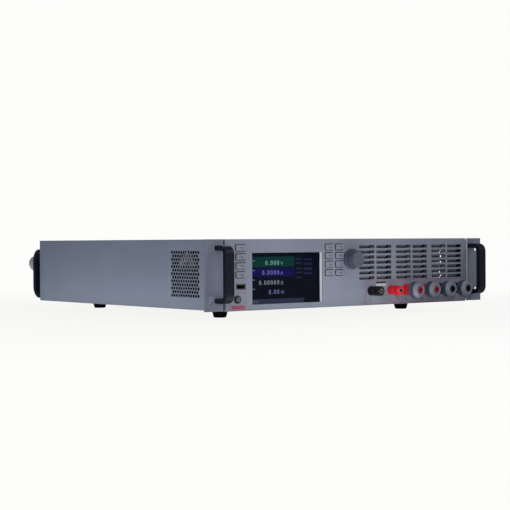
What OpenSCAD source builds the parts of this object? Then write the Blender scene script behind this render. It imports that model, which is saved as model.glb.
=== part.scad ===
// DC electronic load: a 2U bench and rack instrument with a colour display, a keypad,
// an adjusting knob, sense and load terminals, four handles and two exhaust fans.
// Millimetres, +Z up, front panel towards -Y, origin under the middle of the bounding box.

/* [Case] */
// Width across the side panels
case_w = 429; // [428:0.5:431]
// Depth from the front panel's face to the rear edge
case_d = 452; // [440:1:500]
// Height of the case without its feet
case_h = 88; // [88:0.5:92]
// Thickness of the steel sheet
sheet = 1.5; // [1.2:0.1:1.8]
// Width of the folded flanges
flange_w = 12; // [10:1:14]
// Height of a rubber foot
foot_h = 12; // [10:1:16]
// Diameter of a foot at the case
foot_top_d = 22.5; // [19:0.5:24]
// Diameter of a foot at the table
foot_tip_d = 16; // [13:0.5:18]

/* [Front panel] */
// Thickness of the moulded front wall
panel_wall = 3; // [2.5:0.1:3.2]
// Depth of the moulding's rim
panel_depth = 16; // [16:0.5:18]
// Gap between the moulding and each rack ear
groove = 3.7; // [3:0.1:4.5]
// Distance from the ear's face back to the side panel's front edge
side_setback = 4; // [3.5:0.1:6]

/* [Rack ears and handles] */
// Width across the two ears
rack_w = 482.6; // [482:0.2:484]
// Thickness of an ear
ear_t = 3; // [2.5:0.1:4]
// Distance between the left and the right rows of rack slots
rack_slot_x = 465.1; // [464:0.1:466]
// Height between the two slots of one ear
rack_slot_z = 60.3; // [56:0.1:64]
// Width of a rack slot
rack_slot_w = 7; // [6.5:0.1:7.2]
// Length of a rack slot from end to end
rack_slot_len = 10; // [9:0.5:12]
// Width of a handle's bar
bar_w = 12.5; // [12:0.5:14]
// Thickness of a handle's bar
bar_t = 6; // [6:0.5:7.5]
// Height of a front handle
front_handle_h = 70; // [64:1:72]
// Height of a rear handle
rear_handle_h = 71.5; // [66:0.5:74]
// Reach of a handle from the surface it stands on
handle_reach = 23; // [21:0.5:26]
// Outer corner radius of a front handle
front_corner = 11; // [9:0.5:14]
// Outer corner radius of a rear handle
rear_corner = 17; // [14:0.5:18]

/* [Display] */
// Width of the display window
window_w = 114.5; // [112:0.5:115]
// Height of the display window
window_h = 64; // [60:0.5:65]
// Depth from the panel's face to the lens
recess = 5.4; // [5:0.1:6]

/* [Keys] */
// Width of a menu key
menu_key_w = 15; // [13:0.5:15.5]
// Width of a keypad key
pad_key_w = 13; // [11:0.5:13.5]
// Height of a key
key_h = 7.2; // [6.6:0.2:7.4]
// Height between rows of keys
key_pitch = 11; // [10.8:0.1:11.2]
// Gap between a key and the edge of its opening
key_well = 0.7; // [0.5:0.1:0.7]
// How far a key stands out of the panel
key_out = 1.3; // [1.2:0.1:1.8]
// How far a key can be pressed
key_travel = 1; // [0.8:0.1:1]
// Gap between pieces that move past one another
key_gap = 0.3; // [0.25:0.05:0.4]
// Diameter of the power button
power_d = 9.4; // [8:0.2:10]
// How far the power button can be pressed
power_travel = 3; // [2:0.5:3]

/* [Knob] */
// Diameter of the knob's skirt
knob_d = 26.6; // [24:0.2:27]
// Length of the knob
knob_len = 15.4; // [14:0.2:17]
// Diameter of the encoder's shaft
shaft_d = 6; // [5.5:0.1:6.4]
// Gap between the shaft and its bush
shaft_gap = 0.05; // [0.03:0.01:0.08]

/* [Front vent] */
// Width of a vent slot
slot_w = 27; // [24:0.5:27.5]
// Height of a vent slot
slot_h = 4.3; // [3.5:0.1:4.6]
// Height between vent slots
slot_pitch = 6.9; // [6.6:0.1:7]
// Number of slots in a column
slot_rows = 7; // [5:1:7]

/* [Side vent] */
// Diameter of a side vent hole
vent_hole_d = 4.2; // [3.4:0.1:4.3]
// Distance between neighbouring holes
vent_pitch = 5.24; // [5.1:0.02:5.5]
// Holes in a long row
vent_cols = 12; // [8:1:14]
// Number of rows
vent_rows = 13; // [9:1:13]

/* [Terminals] */
// Distance between load terminals
load_pitch = 31; // [28:0.5:31.5]
// Diameter of a load terminal's nut
load_nut_d = 21.5; // [19:0.5:23]
// Reach of a load terminal from the panel
load_reach = 28; // [26:0.5:32]
// Diameter of a load terminal's coloured collar
collar_d = 15; // [13.5:0.5:16]
// Diameter of a sense terminal
sense_d = 12.6; // [11.5:0.1:14]
// Reach of a sense terminal from the panel
sense_reach = 20.3; // [19:0.1:23]
// Bore of the 4 mm sockets
socket_d = 4.1; // [4.05:0.01:4.2]

/* [Rear] */
// Gap between an exhaust fan and the sheet above and below it
fan_clear = 2.5; // [2:0.5:4]
// Depth of an exhaust fan
fan_depth = 25; // [22:1:28]
// Reach of the earth terminal behind the case
earth_reach = 60; // [50:1:66]
// Diameter of the earth terminal's domed nut
earth_nut_d = 25; // [22:0.5:26]
// How far the fuse drawer pulls out
drawer_travel = 20; // [16:1:21]

/* [Hidden] */
$fn = 48;
fit = 0.05;
half_w = case_w / 2;
inner_x = half_w - sheet;
panel_x = half_w - groove;
mid_z = case_h / 2;
inside_top = case_h - sheet;
panel_y = (load_reach - case_d - earth_reach) / 2;
bulk_y = panel_depth;
bulk_back = bulk_y + sheet;
rear_in = case_d - sheet;

// Rows of screws
m3 = 1.5;
m4 = 2;
drill = 0.1;
flange_mid = inner_x - flange_w / 2;
cover_screw_y = [bulk_back + 20, case_d / 2, rear_in - 20];
rear_screw_z = [22, inside_top - 5.5];
front_boss_z = [5.9, case_h - 5.9];
boss_x = panel_x - 4.5;
boss_r = 3.25;

// Ears and handles
ear_flange_len = 25;
ear_screw_y = 22;
ear_screw_z = [24, case_h - 24];
ear_handle_x = half_w + 6.4;
rear_handle_x = half_w - 8;
front_handle_z = mid_z + 1.4;
rear_handle_z = mid_z - 4.6;
front_leg_z = [for (e = [-1, 1]) front_handle_z + e * (front_handle_h - bar_t) / 2];
rear_leg_z = [for (e = [-1, 1]) rear_handle_z + e * (rear_handle_h - bar_t) / 2];
rack_slot_mid = mid_z + 0.7;

// Feet: distance out from the middle and back from the panel's face, front pair then rear pair
foot_at = [[161, 79], [136.5, case_d - 41]];
foot_hole_depth = 7;

// Display
window_mid = [-panel_x + 98.2, mid_z - 5];
lip = 0.8;
lining = 1.5;
lens_t = 1.6;
module_t = 3.2;
module_y = recess + lens_t;
bezel_grow = 3.2;
board_y = module_y + module_t;
board_t = 1.6;

// Keys
menu_x = -panel_x + 23.1;
pad_x = [-panel_x + 166.7, -panel_x + 184.5];
top_key_z = case_h - 10.7;
key_rows = 4;
key_corner = 1;
key_flange_t = 1;
key_flange_grow = key_well + 0.7;
switch_size = 6;
switch_h = board_y - panel_wall - key_gap - key_flange_t - key_travel - key_gap;
key_back = panel_wall + key_gap + key_flange_t;
power_at = [-panel_x + 18, 14.1];
power_out = 2;
power_back = panel_wall + key_gap + key_flange_t;
usb_at = [-panel_x + 23.4, 29.8];
usb_w = 14.8;
usb_h = 7.2;
usb_wall = 0.9;

// Knob
knob_at = [-panel_x + 205, case_h - 26.5];
knob_gap = 0.6;
bush_r = shaft_d / 2 + shaft_gap + 1.4;
bush_out = 3;

// Front vent, counted from the panel's right edge
slot_top_z = case_h - 10.5;
slot_pair = 67.3;
slot_step = 31;
slot_start = panel_x - 202.2;
slot_x = [for (p = [0:2], s = [0:1]) slot_start + p * slot_pair + s * slot_step];
vent_wall = 1.5;
blade_depth = 5.2;
blade_drop = 3.8;
blade_t = 0.9;
rib_w = 2.6;
blade_len = slot_w * 0.76;
louvre_depth = 8;
louvre_x = [slot_start - 4, slot_start + 2 * slot_pair + slot_step + slot_w + 2];
louvre_z = [slot_top_z - (slot_rows - 1) * slot_pitch - slot_h - 0.6, slot_top_z + 4.5];

// Side vent
vent_row = vent_pitch * sqrt(3) / 2;
vent_y = 51.1;
vent_z = 17.4;

// Terminals
post_z = 19;
load_x = [for (i = [0:3]) panel_x - 116.8 + i * load_pitch];
sense_x = [panel_x - 181.3, panel_x - 145.6];
load_collar_len = 14.3;
core_d = 9.6;
neck_d = 9;
stud_r = 3.2;
shroud = 6;
socket_len = 18;
sense_base_len = 10.6;
stud_tail = bulk_back + 9;
bar_y = bulk_back + 2;
bus_t = 3;
bus_h = 16;

// Rear
fan_size = case_h - 2 * sheet - 2 * fan_clear;
fan_edge = 22.8;
fan_gap = 6;
fan_x = [for (k = [1, 0]) panel_x - fan_edge - fan_size / 2 - k * (fan_size + fan_gap)];
fan_bore_r = fan_size / 2 - 1.5;
fan_hole = fan_size * 0.894 / 2;
rotor_r = fan_bore_r - 1;
blade_wall = 1.8;
hub_r = fan_size * 0.24;
guard_rings = [for (k = [0.11, 0.21, 0.31, 0.41]) fan_size * k];
guard_wire = 0.9;
inlet_at = [-panel_x + 70.8, mid_z];
inlet_w = 27;
inlet_h = 48;
mouth_z = -11;
mouth_w = 24.2;
mouth_h = 16.8;
mouth_depth = 16;
drawer_z = 13;
drawer_w = 21;
drawer_h = 11;
drawer_depth = drawer_travel + 4;
drawer_gap = 0.3;
serial_at = [-panel_x + 118, mid_z + 14];
usb_b_at = [-panel_x + 158, mid_z + 14];
serial_w = 20;
serial_h = 11;
usb_b_w = 12;
usb_b_h = 11;
earth_at = [-panel_x + 18.8, mid_z + 9.7];
earth_stud_r = 3;
earth_barrel = 6.4;
earth_seat = 9;

// Inside
power_board_z = 14;
power_board_x = [-inner_x + 4, -4];
power_board_y = [50, case_d - 60];
standoff_r = 3;
board_edge = 13;
sink_x = [18, inner_x - 17];
sink_y = [60, case_d - 50];
sink_top = inside_top - 8.5;
sink_base = 8;
fin_t = 2;
fin_gap = 5.5;
choke_r = 10.5;
choke_wire = 4.8;
choke_y = 88;
choke_z = 54.5;
choke_base = [9, 18];

// Moves a piece from the panel's own axes (face at y = 0, case bottom at z = 0) to the part's frame
module piece(tint) {
    color(tint) translate([0, panel_y, foot_h]) children();
}

// A round bar along Y between two depths
module rod(x, z, y0, y1, r) {
    translate([x, y0, z]) rotate([-90, 0, 0]) cylinder(h = y1 - y0, r = r);
}

// A box given by its middle in X and Z and its depths in Y
module block(x, z, w, h, y0, y1) {
    translate([x - w / 2, y0, z - h / 2]) cube([w, y1 - y0, h]);
}

// A turned piece whose profile of [radius, distance out of the panel] stands out towards -Y
module turned_out(x, z) {
    translate([x, 0, z]) rotate([90, 0, 0]) rotate_extrude() children();
}

// A turned piece whose profile of [radius, distance behind the case] stands out towards +Y
module turned_back(x, z) {
    translate([x, case_d, z]) rotate([-90, 0, 0]) rotate_extrude() children();
}

// A flat outline in X and Z, from depth y0 to depth y1
module plate_xz(y0, y1) {
    translate([0, y1, 0]) rotate([90, 0, 0]) linear_extrude(y1 - y0) children();
}

// A flat outline in Y and Z, from x0 to x1
module plate_yz(x0, x1) {
    translate([x0, 0, 0]) rotate([90, 0, 90]) linear_extrude(x1 - x0) children();
}

// A rectangle with round corners, about its middle
module round_rect(w, h, r) {
    square([w, h - 2 * r], center = true);
    square([w - 2 * r, h], center = true);
    for (x = [r - w / 2, w / 2 - r], y = [r - h / 2, h / 2 - r])
        translate([x, y]) circle(r);
}

// An upright slot with round ends, about its middle
module upright_slot(w, len) {
    square([w, len - w], center = true);
    for (y = [w - len, len - w]) translate([0, y / 2]) circle(d = w);
}

// A pan-head screw along Z, head up, its seat at z = 0
module pan_screw(r, len) {
    translate([0, 0, -len]) cylinder(h = len, r = r);
    cylinder(h = r * 1.1, r = r * 1.9);
}

// A countersunk screw along Z, flush at z = 0
module flush_screw(r, len) {
    translate([0, 0, -len]) cylinder(h = len, r = r);
    translate([0, 0, -sheet * 0.8]) cylinder(h = sheet * 0.8, r1 = r, r2 = r + sheet * 0.8);
}

// The hole for a countersunk screw along Z, flush at z = 0
module flush_hole() {
    translate([0, 0, -4]) cylinder(h = 5, r = m3 + drill);
    translate([0, 0, -sheet * 0.8])
        cylinder(h = sheet * 0.8 + drill, r1 = m3 + drill, r2 = m3 + 2 * drill + sheet * 0.8);
}

// Outline of a handle, flat where it stands on its base and round at its outer corners
module handle_half(height, reach, corner) {
    translate([0, -height / 2]) intersection() {
        square([reach, height]);
        union() {
            square([reach - corner, height]);
            translate([0, corner]) square([reach, height - 2 * corner]);
            for (v = [corner, height - corner]) translate([reach - corner, v]) circle(corner);
        }
    }
}

// A bar handle standing out along +X, its legs drilled for screws
module bar_handle(height, corner) {
    leg = height / 2 - bar_t / 2;
    difference() {
        rotate([90, 0, 0]) linear_extrude(bar_w, center = true) difference() {
            handle_half(height, handle_reach, corner);
            handle_half(height - 2 * bar_t, handle_reach - bar_t, corner - bar_t);
        }
        for (z = [-leg, leg])
            translate([-1, 0, z]) rotate([0, 90, 0]) cylinder(h = 11, r = m4 + drill / 2);
    }
}

// The rack ear on the right: a plate flush with the panel and a flange along the side panel
module rack_ear() {
    ear_w = rack_w / 2 - half_w;
    difference() {
        union() {
            translate([half_w, 0, 0.5]) cube([ear_w, ear_t, case_h - 0.5]);
            translate([half_w, 0, 2]) cube([ear_t, ear_t + ear_flange_len, case_h - 4]);
        }
        plate_xz(-1, ear_t + 1)
            for (s = [-1, 1]) translate([rack_slot_x / 2, rack_slot_mid + s * rack_slot_z / 2])
                upright_slot(rack_slot_w, rack_slot_len);
        for (z = front_leg_z) rod(ear_handle_x, z, -1, ear_t + 1, m4 + drill);
        for (z = ear_screw_z) translate([half_w - 1, ear_screw_y, z]) rotate([0, 90, 0])
            cylinder(h = ear_t + 2, r = m4 + drill);
    }
}

// The right side panel: a steel sheet folded inwards all round, with a staggered field of holes
module side_panel() {
    span = rear_in - bulk_back;
    difference() {
        union() {
            plate_yz(inner_x, half_w) difference() {
                translate([side_setback, 0]) square([case_d - side_setback, case_h]);
                for (r = [0:vent_rows - 1], c = [0:vent_cols - 1 - r % 2])
                    translate([vent_y + (c + (r % 2) / 2) * vent_pitch, vent_z + r * vent_row])
                        circle(d = vent_hole_d);
                for (z = ear_screw_z) translate([ear_screw_y, z]) circle(m4 + drill);
            }
            for (z = [sheet, inside_top - sheet])
                translate([inner_x - flange_w, bulk_back, z]) cube([flange_w + 0.2, span, sheet]);
            for (y = [bulk_back, rear_in - sheet])
                translate([inner_x - flange_w, y, sheet])
                    cube([flange_w + 0.2, sheet, inside_top - sheet]);
        }
        for (y = cover_screw_y) translate([flange_mid, y, -1]) cylinder(h = case_h + 1, r = m3 + drill);
        for (z = rear_screw_z) rod(flange_mid, z, rear_in - 4, case_d, m3 + drill);
        for (z = front_boss_z) rod(boss_x, z, bulk_y, bulk_back + 4, m3 + drill);
        for (z = rear_leg_z) rod(rear_handle_x, z, rear_in - 4, case_d, m4 + drill);
    }
}

module base_tray() {
    piece("#7c838f") {
        difference() {
            translate([-inner_x, bulk_y, 0]) cube([2 * inner_x, case_d - bulk_y, sheet]);
            for (s = [-1, 1], y = cover_screw_y)
                translate([s * flange_mid, y, 0]) rotate([180, 0, 0]) flush_hole();
            for (s = [-1, 1], p = foot_at)
                translate([s * p[0], p[1], -1]) cylinder(h = 4, r = m4 + drill);
        }
        for (x = [power_board_x[0] + board_edge, power_board_x[1] - board_edge],
            y = [power_board_y[0] + board_edge, power_board_y[1] - board_edge])
            translate([x, y, sheet]) cylinder(h = power_board_z - sheet, r = standoff_r);
    }
}

module side_panel_left() {
    piece("#868d9a") mirror([1, 0, 0]) side_panel();
}

module side_panel_right() {
    piece("#868d9a") side_panel();
}

module top_cover() {
    piece("#868d9a") difference() {
        translate([-inner_x, bulk_y, inside_top]) cube([2 * inner_x, case_d - bulk_y, sheet]);
        for (s = [-1, 1], y = cover_screw_y) translate([s * flange_mid, y, case_h]) flush_hole();
    }
}

module rear_panel() {
    piece("#868d9a") plate_xz(rear_in, case_d) difference() {
        translate([-inner_x, sheet]) square([2 * inner_x, inside_top - sheet]);
        for (x = fan_x) translate([x, mid_z]) {
            circle(fan_bore_r - 1);
            for (a = [-1, 1], b = [-1, 1]) translate([a * fan_hole, b * fan_hole]) circle(m4 + drill);
        }
        translate(inlet_at) square([inlet_w + 2 * drill, inlet_h + 2 * drill], center = true);
        translate(serial_at) square([serial_w + 0.4, serial_h + 0.4], center = true);
        translate(usb_b_at) square([usb_b_w + 0.6, usb_b_h + 0.6], center = true);
        translate(earth_at) circle(earth_stud_r + drill);
        for (s = [-1, 1]) {
            for (z = rear_screw_z) translate([s * flange_mid, z]) circle(m3 + drill);
            for (z = rear_leg_z) translate([s * rear_handle_x, z]) circle(m4 + drill);
        }
    }
}

// Every opening in the front panel's wall, as a flat outline
module panel_openings() {
    for (r = [0:key_rows - 1]) {
        translate([menu_x, top_key_z - r * key_pitch])
            round_rect(menu_key_w + 2 * key_well, key_h + 2 * key_well, key_corner + key_well);
        for (x = pad_x) translate([x, top_key_z - r * key_pitch])
            round_rect(pad_key_w + 2 * key_well, key_h + 2 * key_well, key_corner + key_well);
    }
    translate(usb_at) square([usb_w + 0.6, usb_h + 0.6], center = true);
    translate(power_at) circle(d = power_d + 2 * key_gap);
    translate(knob_at) circle(bush_r + drill);
    for (x = sense_x) translate([x, post_z]) circle(d = neck_d + 2 * fit);
    for (x = load_x) translate([x, post_z]) circle(d = neck_d + 2 * fit);
    for (x = slot_x, r = [0:slot_rows - 1])
        translate([x, slot_top_z - r * slot_pitch - slot_h / 2]) square([slot_w, slot_h]);
    translate(window_mid) square([window_w, window_h], center = true);
}

module front_panel() {
    piece("#868d9a") difference() {
        union() {
            difference() {
                translate([-panel_x, 0, 0]) cube([2 * panel_x, panel_depth, case_h]);
                translate([panel_wall - panel_x, panel_wall, panel_wall])
                    cube([2 * (panel_x - panel_wall), panel_depth, case_h - 2 * panel_wall]);
                plate_xz(-1, panel_wall + 1) panel_openings();
                plate_xz(lip, panel_wall + 1) translate(window_mid)
                    square([window_w + 2 * lining + 2 * fit, window_h + 2 * lining + 2 * fit], center = true);
                translate([louvre_x[0], vent_wall, louvre_z[0]])
                    cube([louvre_x[1] - louvre_x[0], panel_wall, louvre_z[1] - louvre_z[0]]);
            }
            for (s = [-1, 1], z = front_boss_z) rod(s * boss_x, z, panel_wall - 0.2, panel_depth, boss_r);
        }
        for (s = [-1, 1], z = front_boss_z)
            rod(s * boss_x, z, panel_depth - 9, panel_depth + 1, m3 + drill / 2);
    }
}

module front_bulkhead() {
    air = [louvre_x[0], louvre_x[1]];
    piece("#6c727d") {
        plate_xz(bulk_y, bulk_back) difference() {
            translate([-inner_x, sheet]) square([2 * inner_x, inside_top - sheet]);
            translate([air[0], louvre_z[0] + 2]) square([air[1] - air[0], louvre_z[1] - louvre_z[0] - 4]);
            for (x = load_x) translate([x, post_z]) circle(stud_r + 4);
            for (x = sense_x) translate([x, post_z]) circle(stud_r + 3);
            for (s = [-1, 1], z = front_boss_z) translate([s * boss_x, z]) circle(m3 + drill);
        }
        for (x = [window_mid[0] - 66, window_mid[0] + 66], z = [8, case_h - 8])
            rod(x, z, board_y + board_t, bulk_y, standoff_r);
    }
}

module vent_louvre() {
    side = 0.2;
    rail = 2;
    w = louvre_x[1] - louvre_x[0] - 2 * side;
    back = vent_wall + louvre_depth;
    piece("#7b818c") {
        difference() {
            for (r = [0:slot_rows - 1]) {
                top = slot_top_z - r * slot_pitch + slot_h / 2 + 0.5;
                plate_yz(slot_x[0] - rib_w, slot_x[5] + blade_len) polygon([
                    [vent_wall, top], [vent_wall + blade_depth, top - blade_drop],
                    [vent_wall + blade_depth, top - blade_drop - blade_t], [vent_wall, top - blade_t]]);
            }
            for (x = slot_x) translate([x + blade_len, 0, 0])
                cube([slot_w - blade_len, back + 1, case_h]);
        }
        for (x = slot_x) translate([x - rib_w, vent_wall, louvre_z[0] + side + 0.2])
            cube([rib_w, louvre_depth, louvre_z[1] - louvre_z[0] - 2 * side - 0.4]);
        for (z = [louvre_z[0] + side, louvre_z[1] - side - rail])
            translate([louvre_x[0] + side, vent_wall, z]) cube([w, louvre_depth, rail]);
    }
}

module rack_ear_left() {
    piece("#868d9a") mirror([1, 0, 0]) rack_ear();
}

module rack_ear_right() {
    piece("#868d9a") rack_ear();
}

module front_handle(side) {
    piece("#22242c") translate([side * ear_handle_x, 0, front_handle_z]) rotate([0, 0, -90])
        bar_handle(front_handle_h, front_corner);
}

module front_handle_left() {
    front_handle(-1);
}

module front_handle_right() {
    front_handle(1);
}

module rear_handles() {
    piece("#17181d") for (s = [-1, 1])
        translate([s * rear_handle_x, case_d, rear_handle_z]) rotate([0, 0, 90])
            bar_handle(rear_handle_h, rear_corner);
}

module case_screws() {
    foot_screw = foot_h - foot_hole_depth + sheet - 0.2;
    piece("#a9acb2") {
        for (s = [-1, 1], y = cover_screw_y) {
            translate([s * flange_mid, y, case_h]) flush_screw(m3, 8);
            translate([s * flange_mid, y, 0]) rotate([180, 0, 0]) flush_screw(m3, 8);
        }
        for (s = [-1, 1], p = foot_at)
            translate([s * p[0], p[1], foot_hole_depth - foot_h])
                rotate([180, 0, 0]) pan_screw(m4, foot_screw);
        for (s = [-1, 1]) {
            for (z = ear_screw_z) translate([s * (half_w + ear_t), ear_screw_y, z])
                rotate([0, s * 90, 0]) pan_screw(m4, 8);
            for (z = front_leg_z) translate([s * ear_handle_x, ear_t, z])
                rotate([-90, 0, 0]) pan_screw(m4 * 0.8, 11);
            for (z = rear_leg_z) translate([s * rear_handle_x, rear_in - sheet, z])
                rotate([90, 0, 0]) pan_screw(m4 * 0.9, 11);
            for (z = rear_screw_z) translate([s * flange_mid, case_d, z])
                rotate([-90, 0, 0]) pan_screw(m3, 7);
            for (z = front_boss_z) translate([s * boss_x, bulk_back + sheet, z])
                rotate([-90, 0, 0]) pan_screw(m3, 2 * sheet + 7);
        }
        for (x = fan_x, a = [-1, 1], b = [-1, 1])
            translate([x + a * fan_hole, case_d + 2 * guard_wire + drill, mid_z + b * fan_hole])
                rotate([-90, 0, 0]) pan_screw(m4 * 0.95, 14);
    }
}

module rubber_feet() {
    head_r = m4 * 1.9 + 0.6;
    piece("#14151a") for (s = [-1, 1], p = foot_at) translate([s * p[0], p[1], -foot_h])
        rotate_extrude() polygon([[head_r, 0], [foot_tip_d / 2, 0], [foot_top_d / 2, foot_h],
            [m4 + drill, foot_h], [m4 + drill, foot_hole_depth], [head_r, foot_hole_depth]]);
}

module display_frame() {
    piece("#dfe2e6") difference() {
        union() {
            block(window_mid[0], window_mid[1], window_w + 2 * lining, window_h + 2 * lining, lip, recess);
            block(window_mid[0], window_mid[1], window_w + 2 * bezel_grow, window_h + 2 * bezel_grow,
                panel_wall, recess);
        }
        block(window_mid[0], window_mid[1], window_w, window_h, 0, recess + 1);
    }
}

module display_lens() {
    piece("#0d1016") block(window_mid[0], window_mid[1], window_w + 2 * bezel_grow,
        window_h + 2 * bezel_grow, recess, module_y);
}

module display_module() {
    piece("#1c1f26") block(window_mid[0], window_mid[1], window_w + 2 * bezel_grow - 1,
        window_h + 2 * bezel_grow - 1, module_y, board_y);
}

// Front board with its tact switches, and the power board on the base
module circuit_boards() {
    left = menu_x - 10.8;
    right = knob_at[0] + 9;
    piece("#1e5a3c") {
        difference() {
            translate([left, board_y, 4]) cube([right - left, board_t, case_h - 8]);
            translate([left - 1, board_y - 1, 0])
                cube([power_at[0] + 8.5 - left + 1, board_t + 2, power_at[1] + 8.5]);
        }
        for (r = [0:key_rows - 1], x = concat([menu_x], pad_x))
            block(x, top_key_z - r * key_pitch, switch_size, switch_size, board_y - switch_h, board_y);
        translate([power_board_x[0], power_board_y[0], power_board_z])
            cube([power_board_x[1] - power_board_x[0], power_board_y[1] - power_board_y[0], board_t]);
    }
}

// A key with its retaining flange behind the wall
module key(x, row, w) {
    z = top_key_z - row * key_pitch;
    piece("#8f959f") {
        plate_xz(-key_out, key_back - key_flange_t) translate([x, z]) round_rect(w, key_h, key_corner);
        block(x, z, w + 2 * key_flange_grow, key_h + 2 * key_flange_grow, key_back - key_flange_t, key_back);
    }
}

module power_button() {
    piece("#6a7080") {
        rod(power_at[0], power_at[1], -power_out, power_back, power_d / 2);
        rod(power_at[0], power_at[1], power_back - key_flange_t, power_back, power_d / 2 + 1.2);
    }
}

module power_switch() {
    piece("#202226") block(power_at[0], power_at[1], 13, 13, power_back + power_travel + key_gap, bulk_y);
}

module encoder() {
    bore = shaft_d / 2 + shaft_gap;
    piece("#9a9da3") difference() {
        union() {
            block(knob_at[0], knob_at[1], 12, 12, panel_wall, board_y);
            rod(knob_at[0], knob_at[1], -bush_out, panel_wall + 1, bush_r);
        }
        rod(knob_at[0], knob_at[1], -bush_out - 1, board_y - 1.5, bore);
    }
}

module encoder_shaft() {
    piece("#b9bcc1") rod(knob_at[0], knob_at[1], 3 - knob_len, board_y - 2, shaft_d / 2);
}

module adjust_knob() {
    rim = knob_d / 2;
    seat = bush_r + 0.4;
    grip = rim - 1.2;
    face = rim * 0.7;
    piece("#3f4654") difference() {
        turned_out(knob_at[0], knob_at[1]) polygon([[seat, knob_gap], [rim, knob_gap],
            [rim, knob_gap + 2.2], [grip, knob_gap + 3], [grip - 1.4, knob_len - 2.4],
            [face + 0.6, knob_len - 0.4], [face, knob_len], [face - 0.7, knob_len],
            [face - 1.2, knob_len - 0.5], [0, knob_len - 0.5], [0, knob_len - 3],
            [shaft_d / 2 + 0.02, knob_len - 3], [shaft_d / 2 + 0.02, bush_out + 0.6],
            [seat, bush_out + 0.6]]);
        for (a = [0:15:345]) translate([knob_at[0], 0, knob_at[1]]) rotate([0, a, 0])
            rod(grip + 0.1, 0, 1 - knob_len, -knob_gap - 3.4, 0.7);
    }
}

module usb_socket() {
    in_w = usb_w - 2 * usb_wall;
    in_h = usb_h - 2 * usb_wall;
    piece("#b4b7bc") {
        difference() {
            block(usb_at[0], usb_at[1], usb_w, usb_h, 0.3, board_y);
            block(usb_at[0], usb_at[1], in_w, in_h, 0, board_y - 0.6);
        }
        block(usb_at[0], usb_at[1] + 1.1, in_w - 1.6, 1.8, 1.6, board_y - 0.6);
    }
}

// A collar on the panel with a neck through its wall, bored for the stud
module terminal_base(x, r, len) {
    turned_out(x, post_z) polygon([[stud_r + fit / 2, -panel_wall], [neck_d / 2, -panel_wall],
        [neck_d / 2, 0], [r, 0], [r, len - 0.6], [r - 0.6, len], [stud_r + fit / 2, len]]);
}

module sense_base_black() {
    piece("#16181d") terminal_base(sense_x[0], sense_d / 2, sense_base_len);
}

module sense_base_red() {
    piece("#c4202c") terminal_base(sense_x[1], sense_d / 2, sense_base_len);
}

// The screw cap of a sense terminal, with fine finger grooves
module sense_nut(x) {
    r = sense_d / 2;
    from = sense_base_len + key_gap;
    difference() {
        turned_out(x, post_z) polygon([[stud_r + fit, from], [r - 0.7, from], [r, from + 0.7],
            [r, sense_reach - 0.9], [r - 0.9, sense_reach], [stud_r + fit, sense_reach]]);
        for (a = [0:30:330]) translate([x, 0, post_z]) rotate([0, a, 0])
            rod(r + 0.15, 0, 1.4 - sense_reach, -from - 1, 0.5);
    }
}

module sense_nut_black() {
    piece("#16181d") sense_nut(sense_x[0]);
}

module sense_nut_red() {
    piece("#c4202c") sense_nut(sense_x[1]);
}

// A threaded stud with a 4 mm socket in its front end and a hexagon nut behind the bulkhead
module front_stud(x, reach, tail) {
    turned_out(x, post_z) polygon([[0, -tail], [stud_r, -tail], [stud_r, reach], [socket_d / 2, reach],
        [socket_d / 2, reach - socket_len], [0, reach - socket_len]]);
}

module terminal_studs() {
    piece("#c9c6bd") {
        for (x = sense_x) front_stud(x, sense_reach, stud_tail - 4);
        for (x = load_x) {
            front_stud(x, load_reach - shroud, stud_tail);
            difference() {
                translate([x, bar_y + bus_t, post_z]) rotate([-90, 0, 0]) cylinder(h = 3.5, r = 5.6, $fn = 6);
                rod(x, post_z, bar_y, stud_tail + 1, stud_r + fit / 2);
            }
        }
        rod(earth_at[0], earth_at[1], rear_in - 6, case_d + earth_reach - 9, earth_stud_r);
        difference() {
            translate([earth_at[0], case_d, earth_at[1]]) rotate([-90, 0, 0])
                cylinder(h = earth_seat, r = 6.6, $fn = 6);
            rod(earth_at[0], earth_at[1], case_d - 1, case_d + earth_seat + 1, earth_stud_r + fit / 2);
        }
    }
}

// Insulated collar and core of a load terminal, its socket set back behind a shroud
module load_collar(x) {
    r = collar_d / 2;
    turned_out(x, post_z) polygon([[stud_r + fit / 2, -panel_wall], [neck_d / 2, -panel_wall],
        [neck_d / 2, 0], [r, 0], [r, load_collar_len], [core_d / 2, load_collar_len],
        [core_d / 2, load_reach - 0.5], [core_d / 2 - 0.5, load_reach], [socket_d / 2 + 0.3, load_reach],
        [socket_d / 2 + 0.3, load_reach - shroud + fit], [stud_r + fit / 2, load_reach - shroud + fit]]);
}

module load_collars_red() {
    piece("#b01f2e") for (i = [0, 1]) load_collar(load_x[i]);
}

module load_collars_black() {
    piece("#16181d") for (i = [2, 3]) load_collar(load_x[i]);
}

// The grey hand nut of a load terminal: a straight barrel, a cone and a raised ring
module load_nut(i) {
    r = load_nut_d / 2;
    bore = core_d / 2 + fit;
    from = load_collar_len + key_gap;
    ring = 7.4;
    piece("#6b717e") difference() {
        turned_out(load_x[i], post_z) polygon([[bore, from], [r - 0.8, from], [r, from + 0.8],
            [r, load_reach - 4], [r - 0.8, load_reach - 2.6], [ring + 0.6, load_reach - 0.6],
            [ring, load_reach], [bore + 0.8, load_reach], [bore, load_reach - 0.8]]);
        for (a = [0:15:345]) translate([load_x[i], 0, post_z]) rotate([0, a, 0])
            rod(r + 0.35, 0, 4.6 - load_reach, -from - 1.4, 0.8);
    }
}

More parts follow.
